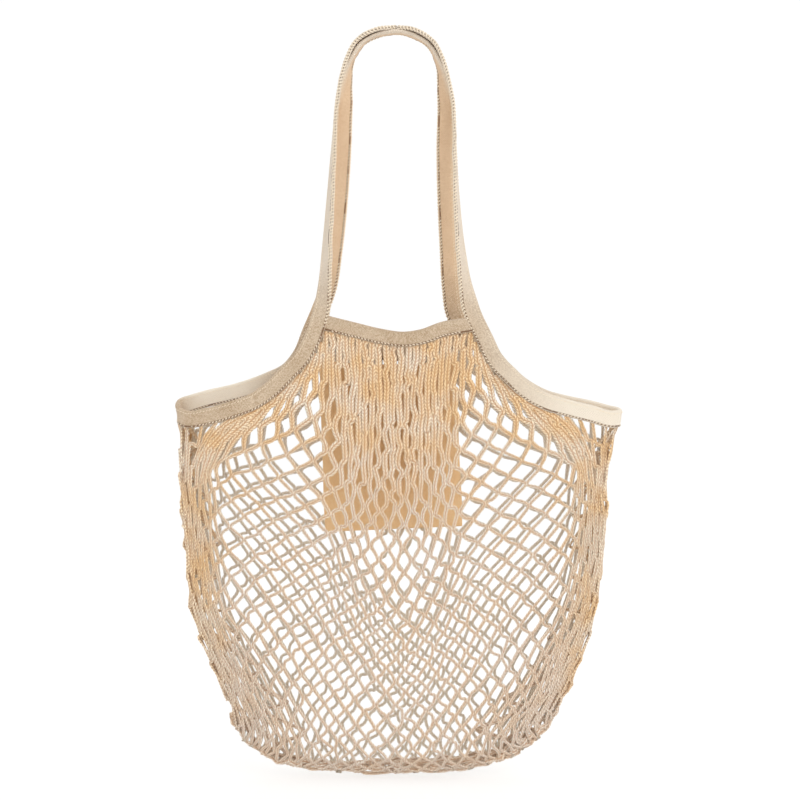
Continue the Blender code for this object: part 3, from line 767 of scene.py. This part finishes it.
def stitchTapes():
    # The stitches of the side bindings stand further out than the others, as the tape is open there.
    count = int(tapeLength / tape["step"])
    at = np.append(np.arange(count) * tapeLength / count, tapeLength)
    points, across, through, _ = tapeFrame(at)
    slits = slitAt(at)
    inset = bag["tapeWidth"] / 2 - tape["stitchInset"]
    fold = -bag["tapeWidth"] / 2 + tape["foldInset"]
    out = (slits - tape["slit"])[:, None] / 2 * through
    lift = tape["slit"] / 2 + tape["leg"] * 1.02 + 0.0001
    rows = []
    for place, seeds, fine in ((inset, (5, 6), 1.0), (fold, (7, 8), 0.55)):
        for side, seed in zip((1, -1), seeds):
            rows.append(stitchRow(points + out * side, across, through, at, place, side * lift, seed, fine))
    return rows + [edgeStitches(points, across, through, at)]


tapeLoop = makeTape()
frontBand, frontStitches = makeBand("bandFront", "front_band", (corners[0], corners[3]), frontSag, -1, 11)
backBand, backStitches = makeBand("bandBack", "back_band", (corners[1], corners[2]), backSag, 1, 21)
stitching = makeStitches("tapeStitching", stitchTapes() + frontStitches + backStitches)
print("tapes made")

# The net.
net = {
    "bandSpan": 10,  # wales from the middle of a band to its corner
    "turnSpan": 24,  # wales from the middle to where the tape turns
    "foldSpan": 26,  # wales to the outer fold at the side
    "halfWales": 30,  # wales to the middle of the side
    "rows": 36,
    "bar": 0.0150,  # real length of one bar between two joints
    "jointHalf": 0.0015,
    "sides": 8,
    "steps": 4,  # rings in each third of a bar
    "tautWidth": 0.0029,
    "slackWidth": 0.0057,
    "bunchWidth": 0.0055,
    "bunch": (7, 23, 3),  # from which wale to which, and down to which row
    "thick": 0.0021,
    "flatness": 0.30,
    "slackBow": 0.50,
    "swing": 0.6,
    "stand": 0.35,
    "jitter": 0.0006,
    "turnHalf": 0.016,
    "settle": 420,  # passes in which the net finds its hang
    "weight": 0.00006,
    "sideFold": 0.026,
    "foldCurve": 2.2,
    "guide": 0.10,  # how firmly a wale is led to where it hangs in the table below
    "bottomSwing": 0.0018,
    "bottomStray": 0.0007,
    "bottomZigzag": 0.0016,
    "bottomHalf": (0.1455, 0.1405),  # half of the bottom seam, left and right
    "gap": 0.003,  # the outer fold stays this far inside the outline
    "wave": (0.0016, 0.0020),  # how far the outer folds sway sideways and in depth
    "swell": 0.08,
    "groove": 0.34,
}
# How far out some wales hang at some heights, in metres, as shares of the half width there. The first row is
# the bottom seam.
spreadWales = (0, 5, 8, 10, 13, 16, 20, 24, 26)
spread = [
    (-0.650, (0, 0.30, 0.460, 0.570, 0.690, 0.790, 0.875, 0.965, 1)),
    (-0.610, (0, 0.31, 0.480, 0.585, 0.700, 0.785, 0.870, 0.950, 1)),
    (-0.560, (0, 0.275, 0.450, 0.565, 0.700, 0.810, 0.890, 0.965, 1)),
    (-0.500, (0, 0.225, 0.365, 0.490, 0.670, 0.845, 0.920, 0.987, 1)),
    (-0.437, (0, 0.19, 0.305, 0.440, 0.645, 0.850, 0.925, 0.988, 1)),
    (-0.380, (0, 0.166, 0.260, 0.370, 0.610, 0.840, 0.920, 0.985, 1)),
    (-0.330, (0, 0.158, 0.250, 0.315, 0.500, 0.670, 0.830, 0.975, 1)),
    (-0.270, (0, 0.14, 0.240, 0.310, 0.430, 0.580, 0.800, 0.970, 1)),
]
# The outline of the net at the left and right: down as a share of the drop, out as a share of the half
# width. The bottom line has them the other way round.
leftLine = [
    (0.524, -0.979), (0.565, -0.984), (0.630, -0.984), (0.686, -0.964), (0.760, -0.950),
    (0.795, -0.925), (0.8245, -0.886), (0.857, -0.836), (0.8895, -0.795), (0.922, -0.750), (0.9545, -0.700),
]
rightLine = [
    (0.524, 1.003), (0.551, 0.982), (0.597, 0.964), (0.646, 0.959), (0.695, 0.955),
    (0.741, 0.936), (0.792, 0.905), (0.829, 0.864), (0.8895, 0.800), (0.922, 0.732), (0.9504, 0.655),
]
bottomLine = [
    (-0.760, 0.915), (-0.700, 0.9545), (-0.550, 0.9850), (-0.391, 0.9950), (-0.209, 0.9990), (0.0, 1.0),
    (0.200, 0.9985), (0.382, 0.9925), (0.527, 0.9780), (0.655, 0.9504), (0.735, 0.915),
]
# The chains along the bottom: where each starts and ends as shares of the seam, how far it rises, how far it
# stands to the back or front, and how wide it is, in metres.
bottomChains = [
    (0.00, 1.00, 0.0000, 0.0000, 0.0036),
    (0.22, 0.90, 0.0028, -0.0034, 0.0040),
    (0.30, 0.97, 0.0060, -0.0052, 0.0036),
    (0.16, 0.80, 0.0050, 0.0040, 0.0040),
    (0.36, 0.86, 0.0095, -0.0060, 0.0034),
    (0.42, 0.94, 0.0088, 0.0058, 0.0036),
]
# Depth of a panel in its middle and at its sides, as shares of half the depth, from the mouth to the bottom.
depthForm = [
    (0.00, 0.40, 0.30), (0.20, 0.42, 0.31), (0.40, 0.58, 0.33), (0.58, 0.82, 0.33),
    (0.76, 1.00, 0.30), (0.89, 0.92, 0.22), (0.96, 0.60, 0.12), (1.00, 0.0, 0.0),
]


def sideX(z):
    down = -z / bag["drop"]
    left, right = np.array(leftLine), np.array(rightLine)
    return (
        np.interp(down, left[:, 0], left[:, 1]) * bag["halfWidth"],
        np.interp(down, right[:, 0], right[:, 1]) * bag["halfWidth"],
    )


def bottomZ(x):
    line = np.array(bottomLine)
    return -np.interp(x / bag["halfWidth"], line[:, 0], line[:, 1]) * bag["drop"]


def panelDepth(x, z):  # distance of a panel from the middle plane
    left, right = sideX(z)
    across = np.clip((2 * x - left - right) / (right - left), -1, 1)
    form = np.array(depthForm)
    down = np.clip((z + 0.25) / (bottomZ(x) + 0.25), 0, 1)
    middle = np.interp(down, form[:, 0], form[:, 1])
    sides = np.interp(down, form[:, 0], form[:, 2])
    bow = np.clip(1 - np.abs(across) ** 2.4, 0, 1) ** 0.8
    return (sides + (middle - sides) * bow) * bag["halfDepth"]


def guideX(wale, z):  # where a wale hangs at a height
    levels = np.array([z for z, _ in spread])
    table = np.array([[np.interp(abs(w), spreadWales, shares) for w in wale.ravel()] for _, shares in spread])
    left, right = sideX(z)
    limit = np.where(wale > 0, right, -left) - net["gap"]
    place = np.clip(np.interp(z, levels, np.arange(len(levels))), 0, len(levels) - 1.001)
    low = place.astype(int)
    column = np.arange(table.shape[1])
    share = table[low, column] * (1 - place + low) + table[low + 1, column] * (place - low)
    return np.sign(wale) * share * limit


def waleTables():  # column number round the bag: its wale from the middle of its panel, and its panel
    half = net["halfWales"]
    column = np.arange(4 * half)
    front = column <= 2 * half
    return np.where(front, column - half, 3 * half - column), np.where(front, -1, 1)


def firstRow(wale):  # the mouth runs level under a band, then slants down along the net
    size = np.abs(wale)
    level = np.where(size % 2 == net["bandSpan"] % 2, 0, 1)
    slant = size - net["bandSpan"]
    turn = net["turnSpan"] - net["bandSpan"] + (size + net["turnSpan"]) % 2
    return np.where(size <= net["bandSpan"], level, np.minimum(slant, turn))


def mouthPoint(wale, panel):
    name = "bandFront" if panel < 0 else "bandBack"
    size = abs(wale)
    if size <= net["bandSpan"]:
        where, line, across = bands[name]
        spot = where[0] + (where[-1] - where[0]) * (0.03 + 0.94 * (wale / net["bandSpan"] + 1) / 2)
        return placesOn(line + across * (bag["bandWidth"] / 2 - tape["grip"]), where, spot)
    left = wale < 0
    corner = (corners[0] if left else corners[3]) if panel < 0 else (corners[1] if left else corners[2])
    turn = turns[0] if left else turns[1]
    inward = math.copysign(1, corner - turn)
    if size <= net["turnSpan"]:
        share = ((size - net["bandSpan"]) / (net["turnSpan"] - net["bandSpan"])) ** 1.15
        spot = corner + (turn + inward * net["turnHalf"] - corner) * share
    else:
        share = (net["halfWales"] - size) / (net["halfWales"] - net["turnSpan"])
        spot = turn + inward * net["turnHalf"] * share
    point, over, _, _ = tapeFrame(np.array([spot]))
    return point[0] + over[0] * (bag["tapeWidth"] / 2 - tape["grip"])


def outerX(size, t, limit, topX, bottomX):  # how far out a wale starts, before the net is settled
    half, fold = net["halfWales"], net["foldSpan"]
    if size < fold:
        return topX + (limit * (size / fold) - topX) * (1 - (1 - t) ** 1.7)
    if size == fold:
        x = topX + (limit - topX) * ease(t / 0.10)
        return x + (bottomX - limit) * ease((t - 0.93) / 0.07)
    folded = net["sideFold"] * (1 + 1.2 * ease((t - 0.5) / 0.5))
    inside = limit - folded * ((size - fold) / (half - fold)) ** net["foldCurve"]
    x = topX + (inside - topX) * ease(t / 0.14)
    return x + (bottomX - inside) * ease((t - 0.90) / 0.10)


def outerY(size, t, topY, panel):  # the side fold runs in from the panel's edge to the middle plane
    half, fold = net["halfWales"], net["foldSpan"]
    inward = np.clip((half - size) / (half - fold), 0, 1)
    y = panel * 0.30 * bag["halfDepth"] * inward * (1 - ease((t - 0.7) / 0.3))
    return topY * (1 - ease(t / 0.12)) + y * ease(t / 0.12)


def knotGrid():
    rows, half = net["rows"], net["halfWales"]
    wale, panel = waleTables()
    first = firstRow(wale)
    row = np.arange(rows + 1)
    grid = np.zeros((rows + 1, 4 * half, 3))
    real = (row[:, None] >= first) & ((wale + row[:, None]) % 2 == 0)
    free = real.copy()
    size = np.abs(wale)
    share = np.interp(size, spreadWales + (half,), spread[0][1] + (0.62,))
    leftHalf, rightHalf = net["bottomHalf"]
    bottomX = 0.001 + np.sign(wale) * share * np.where(wale > 0, rightHalf, leftHalf)
    bottom = np.stack([bottomX, 0 * bottomX, bottomZ(bottomX)], 1)
    top = np.array([mouthPoint(w, p) for w, p in zip(wale, panel)])
    for c in range(4 * half):
        t = np.clip((row - first[c]) / (rows - first[c]), 0, 1)
        z = top[c, 2] + (bottom[c, 2] - top[c, 2]) * t
        left, right = sideX(z)
        limit = (right if wale[c] > 0 else -left) - net["gap"]
        x = np.sign(wale[c]) * outerX(size[c], t, limit, abs(top[c, 0]), abs(bottom[c, 0]))
        if wale[c] == 0:
            x = top[c, 0] * (1 - t)
        y = outerY(size[c], t, top[c, 1], panel[c])
        if size[c] >= net["foldSpan"]:
            sway, surge = net["wave"]
            swing = waves(z * 240, panel[c] * 2.0 + size[c] * 0.9, 61, 6, 0.5, 1.6) * sway
            depth = waves(z * 200, size[c] * 1.1 + panel[c], 62, 6, 0.5, 1.6) * surge
            x = x - math.copysign(1, wale[c]) * swing * ease(t / 0.1)
            y = y + depth * ease(t / 0.1) * (1 - ease((t - 0.9) / 0.1))
            free[:, c] = False
        grid[:, c] = np.stack([x, y, z], 1)
        if (wale[c] + first[c]) % 2 == 0:
            grid[first[c], c] = top[c]
    onBand = (size % 2 == net["bandSpan"] % 2) & (size <= net["bandSpan"])
    onTape = (size > net["bandSpan"]) & (size <= net["turnSpan"])
    for c in np.nonzero(onBand | onTape)[0]:
        free[first[c], c] = False
    grid[rows] = bottom
    free[rows] = False
    return grid, free, real, wale, panel, top, first


def setDepth(grid, wale, panel, top, first):
    inside = np.abs(wale) < net["foldSpan"]
    depth = panelDepth(grid[..., 0], grid[..., 2])
    rows = np.arange(len(grid))[:, None]
    hang = ease((rows - first) / 4.0)
    y = top[:, 1] * (1 - hang) + panel * depth * hang
    grid[..., 1] = np.where(inside, y, grid[..., 1])
    grid[-1, :, 1] = 0


def settleNet(grid, free, real, wale, panel, top, first):
    rows, total = len(grid) - 1, grid.shape[1]
    row, column = np.nonzero(real[:-1])
    a, b = [], []
    for step in (-1, 1):
        beside = (column + step) % total
        there = real[row + 1, beside]
        a.append((row * total + column)[there])
        b.append(((row + 1) * total + beside)[there])
    a, b = np.concatenate(a), np.concatenate(b)
    random = np.random.default_rng(7)
    natural = net["bar"] * (1 + random.normal(0, 0.04, len(a)))
    flat = grid.reshape(-1, 3)
    loose = free.ravel()
    neighbours = np.maximum(np.bincount(a, minlength=len(flat)) + np.bincount(b, minlength=len(flat)), 1)
    held = np.clip((np.arange(rows + 1)[:, None] - first) / 4.0 - 0.25, 0, 1) * net["guide"]

    def gather(vectors):  # what each joint takes from its bars
        parts = []
        for k in range(3):
            parts.append(np.bincount(a, vectors[:, k], len(flat)) - np.bincount(b, vectors[:, k], len(flat)))
        return np.stack(parts, 1)

    for _ in range(net["settle"]):
        setDepth(grid, wale, panel, top, first)
        drift = (guideX(wale[None, :], grid[..., 2]) - grid[..., 0]) * held
        gap = flat[b] - flat[a]
        long = np.maximum(np.linalg.norm(gap, axis=1), 1e-6)
        over = np.maximum(long - natural, 0) + np.minimum(long - 0.55 * natural, 0) * 0.5
        pull = gap * (over / long * 0.5)[:, None]
        mean = gather(gap) / neighbours[:, None]
        move = gather(pull) * 0.6 + mean * 0.02
        move[:, 2] -= net["weight"]
        move[:, 0] += drift.ravel()
        move[:, 1] = 0
        flat[loose] += move[loose]
    print("bars of the net, mm: longest", round(long.max() * 1000, 1), "mean", round(long.mean() * 1000, 1))


def strandWidth(x, z):  # chain stitches spread where nothing pulls on them
    middle = np.exp(-(np.abs(x + 0.006) / 0.075) ** 4)
    high = ease((z + 0.47) / 0.15)
    uneven = waves(x * 60, z * 60, 77, 6) * 0.07
    return (net["tautWidth"] + (net["slackWidth"] - net["tautWidth"]) * middle * high) * (1 + uneven)


def laced(before, after, between):  # both ends of each joint and what lies between joints, along a strand
    spans = np.stack([before[:-1], after[:-1], between], 1)
    return np.concatenate([spans.reshape((-1,) + before.shape[1:]), [before[-1], after[-1]]])


def strandCurves(grid, real, wale, first):
    rows, total = len(grid) - 1, grid.shape[1]
    random = np.random.default_rng(19)
    stray = random.normal(0, net["jitter"], grid.shape)
    stray[-1] *= 0.5
    for c in range(total):
        stray[:first[c] + 1, c] = 0
    knots = grid + stray
    over = unit(np.roll(knots, -1, 1) - np.roll(knots, 1, 1))
    fall = np.zeros_like(knots)
    fall[1:-1] = knots[2:] - knots[:-2]
    fall[0], fall[-1] = knots[1] - knots[0], knots[-1] - knots[-2]
    for c in range(total):
        start = first[c]
        fall[:start + 1, c] = knots[start + 2, c] - knots[start, c]
    fall = unit(fall)
    over = unit(over - (over * fall).sum(-1, keepdims=True) * fall)
    out = unit(np.cross(over, fall))
    width = strandWidth(grid[..., 0], grid[..., 2])
    strands = []
    size = np.abs(wale)
    # Near the side tapes the strands are bunched and lie wide and soft.
    fromMouth = np.arange(rows + 1)[:, None] - first
    inner, outer, deep = net["bunch"]
    bunched = ease((size - inner) / 3.0) * ease((outer - size) / 4.0) * (1 - ease((fromMouth - deep) / 5.0))
    width = width + np.maximum(net["bunchWidth"] - width, 0) * bunched
    for c in range(total):
        # This strand swings between the wales of column c and the next one.
        beyond = (c + 1) % total
        start = max(first[c], first[beyond]) if max(size[c], size[beyond]) > net["bandSpan"] else 0
        row = np.arange(start, rows + 1)
        column = np.where((wale[c] + row) % 2 == 0, c, beyond)
        side = np.where(column == c, 1.0, -1.0)
        w = width[row, column]
        shift = knots[row, column] + over[row, column] * (side * w * 0.5)[:, None]
        f = fall[row, column] * net["jointHalf"]
        before, after = shift - f, shift + f
        before[0] = shift[0]
        chord = before[1:] - after[:-1]
        reach = np.linalg.norm(chord, axis=1)
        slack = np.maximum(net["bar"] - 2 * net["jointHalf"] - reach, 0)
        bow = np.sqrt(0.375 * reach * slack) * net["slackBow"]
        o = unit(out[row[:-1], column[:-1]] + out[row[1:], column[1:]])
        aside = np.cross(unit(chord), o)
        swing = np.clip(random.normal(0.0, net["swing"], len(row) - 1), -2 * net["swing"], 2 * net["swing"])
        middle = (before[1:] + after[:-1]) / 2 + aside * (bow * swing)[:, None]
        middle[:, 2] -= bow * 0.5 * (1 - np.abs(unit(chord)[:, 2]))
        middle += o * (bow * random.normal(0.0, net["stand"], len(row) - 1))[:, None]
        faces = out[row, column]
        line = laced(before, after, middle)
        strands.append((line, laced(w, w, (w[:-1] + w[1:]) / 2), laced(faces, faces, o)))
    return strands


def closingChains(grid):  # link the last row of the front to that of the back, and bunch along the bottom
    random = np.random.default_rng(23)
    seam = grid[-1][np.arange(4, 2 * net["halfWales"] - 3)]
    made = []
    for number, (first, last, rise, depth, wide) in enumerate(bottomChains):
        start, end = int(first * len(seam)), int(last * len(seam))
        line = seam[start:end] + random.normal(0, net["bottomStray"], (end - start, 3)) * [1, 1.6, 1]
        along = np.linspace(0, 1, end - start)
        ends = ease(along / 0.12) * ease((1 - along) / 0.12)
        swing = waves(line[:, 0] * 230, number * 1.7, 31, 5) * net["bottomSwing"] * min(number, 1)
        line[:, 2] += 0.0004 + (rise + swing) * ends
        line[:, 1] += depth * ends + net["bottomZigzag"] * (-1) ** np.arange(len(line))
        made.append((line, np.full(len(line), wide), np.tile([0.0, -1.0, 0.0], (len(line), 1))))
    return made


def fineCurve(values, steps):  # Catmull-Rom
    before = np.concatenate([2 * values[:1] - values[1:2], values[:-1]])
    after = np.concatenate([values[1:], 2 * values[-1:] - values[-2:-1]])
    tangent = (after - before) / 2
    parts = []
    a, b = values[:-1], values[1:]
    for s in range(steps):
        t = s / steps
        place = a * (1 + 2 * t) * (1 - t) ** 2 + b * t * t * (3 - 2 * t)
        parts.append(place + tangent[:-1] * t * (1 - t) ** 2 - tangent[1:] * t * t * (1 - t))
    fine = np.stack(parts, 1).reshape((-1,) + values.shape[1:])
    return np.concatenate([fine, values[-1:]])


def makeStrands(name, strands, material):
    sides = net["sides"]
    allPoints, allQuads, allUv, base = [], [], [], 0
    angles = np.arange(sides) * 2 * math.pi / sides
    for number, (curve, widths, outs) in enumerate(strands):
        line, wide = fineCurve(curve, net["steps"]), fineCurve(widths, net["steps"])
        out = unit(fineCurve(outs, net["steps"]))
        ahead = unit(np.gradient(line, axis=0))
        out = unit(out - (out * ahead).sum(-1, keepdims=True) * ahead)
        over = np.cross(ahead, out)
        # Each chain stitch is a small swelling.
        along = lengths(line) / yarn["stitch"] + number * 0.37
        swell = 1 + net["swell"] * np.sin(2 * math.pi * along)
        a = wide * 0.5 * swell
        b = np.maximum(net["thick"] * 0.5, wide * net["flatness"]) * swell
        # The two legs of the stitches leave a groove along the middle.
        slack = np.clip((wide[:, None] - 0.0028) / 0.0026, 0.25, 1)
        groove = 1 - net["groove"] * np.abs(np.cos(angles)) ** 6 * slack
        sideways = a[:, None] * np.sin(angles)
        outward = b[:, None] * groove * np.cos(angles)
        ring = line[:, None] + sideways[..., None] * over[:, None] + outward[..., None] * out[:, None]
        quads, ringIndex, sideIndex = tubeQuads(1, len(line), sides, base)
        u, u1 = along[ringIndex], along[ringIndex + 1]
        v, v1 = sideIndex / sides, (sideIndex + 1) / sides
        allUv.append(np.stack([np.stack(pair, -1) for pair in ((u, v), (u, v1), (u1, v1), (u1, v))], 1))
        allPoints.append(ring.reshape(-1, 3))
        allQuads.append(quads)
        base += len(ring) * sides
    quads, uv = np.concatenate(allQuads), np.concatenate(allUv)
    return makeMesh(name, np.concatenate(allPoints), quads[:, ::-1], uv[:, ::-1], material)


def makeNet():
    grid, free, real, wale, panel, top, first = knotGrid()
    settleNet(grid, free, real, wale, panel, top, first)
    setDepth(grid, wale, panel, top, first)
    # Places between joints take the mean of their neighbours, for the directions there.
    beside = (np.roll(grid, 1, 1) + np.roll(grid, -1, 1)) / 2
    grid = np.where(real[..., None], grid, beside)
    strands = strandCurves(grid, real, wale, first)
    bottom = closingChains(grid)
    half, fold = net["halfWales"], net["halfWales"] - net["turnSpan"]
    cuts = [
        ("netFrontLeft", fold, half),
        ("netFrontRight", half, 2 * half - fold),
        ("netRightSide", 2 * half - fold, 2 * half + fold),
        ("netBackRight", 2 * half + fold, 3 * half),
        ("netBackLeft", 3 * half, 4 * half - fold),
        ("netLeftSide", -fold, fold),
    ]
    made = []
    for name, start, end in cuts:
        chosen = [strands[k % (4 * half)] for k in range(start, end)]
        if name == "netFrontLeft":
            chosen += bottom
        # The back panels take the yarn painted lighter against their shade.
        piece = makeStrands(name, chosen, netBackPaintedLitMaterial if "Back" in name else netMaterial)
        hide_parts("net_body")
        made.append(piece)
        print(name, len(piece.data.polygons) * 2, "triangles")
    return made


netPieces = makeNet()
print("net made")

# The pocket.
pocket = {
    "halfWidth": 0.0605,
    "halfGap": 0.0058,
    "bandHalf": 0.00155,  # half the thickness of the back band, on whose inner side the pocket hangs
    "clear": 0.0004,
    "top": 0.4420,
    "bottom": 0.6725,
    "lean": -0.041,
    "sag": 0.0043,
    "tilt": 0.0025,
    "drift": 0.0060,
    "dent": 0.0010,
    "wall": 0.0009,
    "hem": 0.085,
    "hemStep": 0.0005,
    "around": 128,
    "rings": 110,
}
# Down the pocket: how deep as a share, then its width and its gap there as shares of the half ones.
pocketForm = [
    (0.00, 1.00, 0.90), (0.08, 1.00, 1.00), (0.30, 1.01, 1.08),
    (0.60, 1.01, 1.04), (0.85, 1.02, 0.86), (1.00, 1.01, 0.50),
]


def makePocket():
    around = pocket["around"]
    turn = np.arange(around) * 2 * math.pi / around
    across = np.sign(np.cos(turn)) * np.abs(np.cos(turn)) ** 0.45
    through = np.sign(np.sin(turn)) * np.abs(np.sin(turn)) ** 0.75
    top, bottom = -pocket["top"] * bag["drop"], -pocket["bottom"] * bag["drop"]
    centreX = pocket["lean"] * bag["halfWidth"]
    centreY = bag["halfMouth"] - pocket["bandHalf"] - pocket["clear"] - pocket["halfGap"]
    form = np.array(pocketForm)

    def ring(share, inset):
        hem = pocket["hemStep"] * (1 - ease((share - pocket["hem"]) / 0.015)) if inset == 0 else 0
        width = np.interp(share, form[:, 0], form[:, 1]) * pocket["halfWidth"]
        width = width - inset - pocket["hemStep"] + hem
        gap = smooth(np.array([share]), form[:, 0], form[:, 2])[0] * pocket["halfGap"]
        gap = gap - inset - pocket["hemStep"] + hem
        x = centreX + across * width + pocket["drift"] * share
        dent = waves(across * 2.2, share * 6.0, 5, 6) * pocket["dent"] * (1 - np.abs(across) ** 4)
        y = centreY + through * gap + np.sign(through) * dent
        sag = pocket["sag"] * (1 - across**2) * (1 - share)
        z = top + (bottom - top) * share - sag + pocket["tilt"] * share * across
        return np.stack([x, y, z], 1)

    shares = np.linspace(0, 1, pocket["rings"])
    outer = [ring(s, 0.0) for s in shares]
    inner = [ring(s, pocket["wall"]) for s in shares[:-1]]
    last = ring(1.0, pocket["wall"])
    last[:, 2] += pocket["wall"] * 1.5
    rings = outer[::-1] + inner + [last]
    points = np.concatenate(rings)
    quads = tubeQuads(1, len(rings), around)[0]
    uv = points[quads][:, :, [0, 2]]
    piece = makeMesh("pocketPouch", points, quads, uv, pocketMaterial)
    closeHoles(piece, True)
    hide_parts("inner_pocket")
    return piece


pocketPouch = makePocket()
print("pocket made")

for piece in [tapeLoop, frontBand, backBand, stitching, pocketPouch] + netPieces:
    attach(piece, "root")

bpy.context.scene.view_settings.view_transform = "Standard"
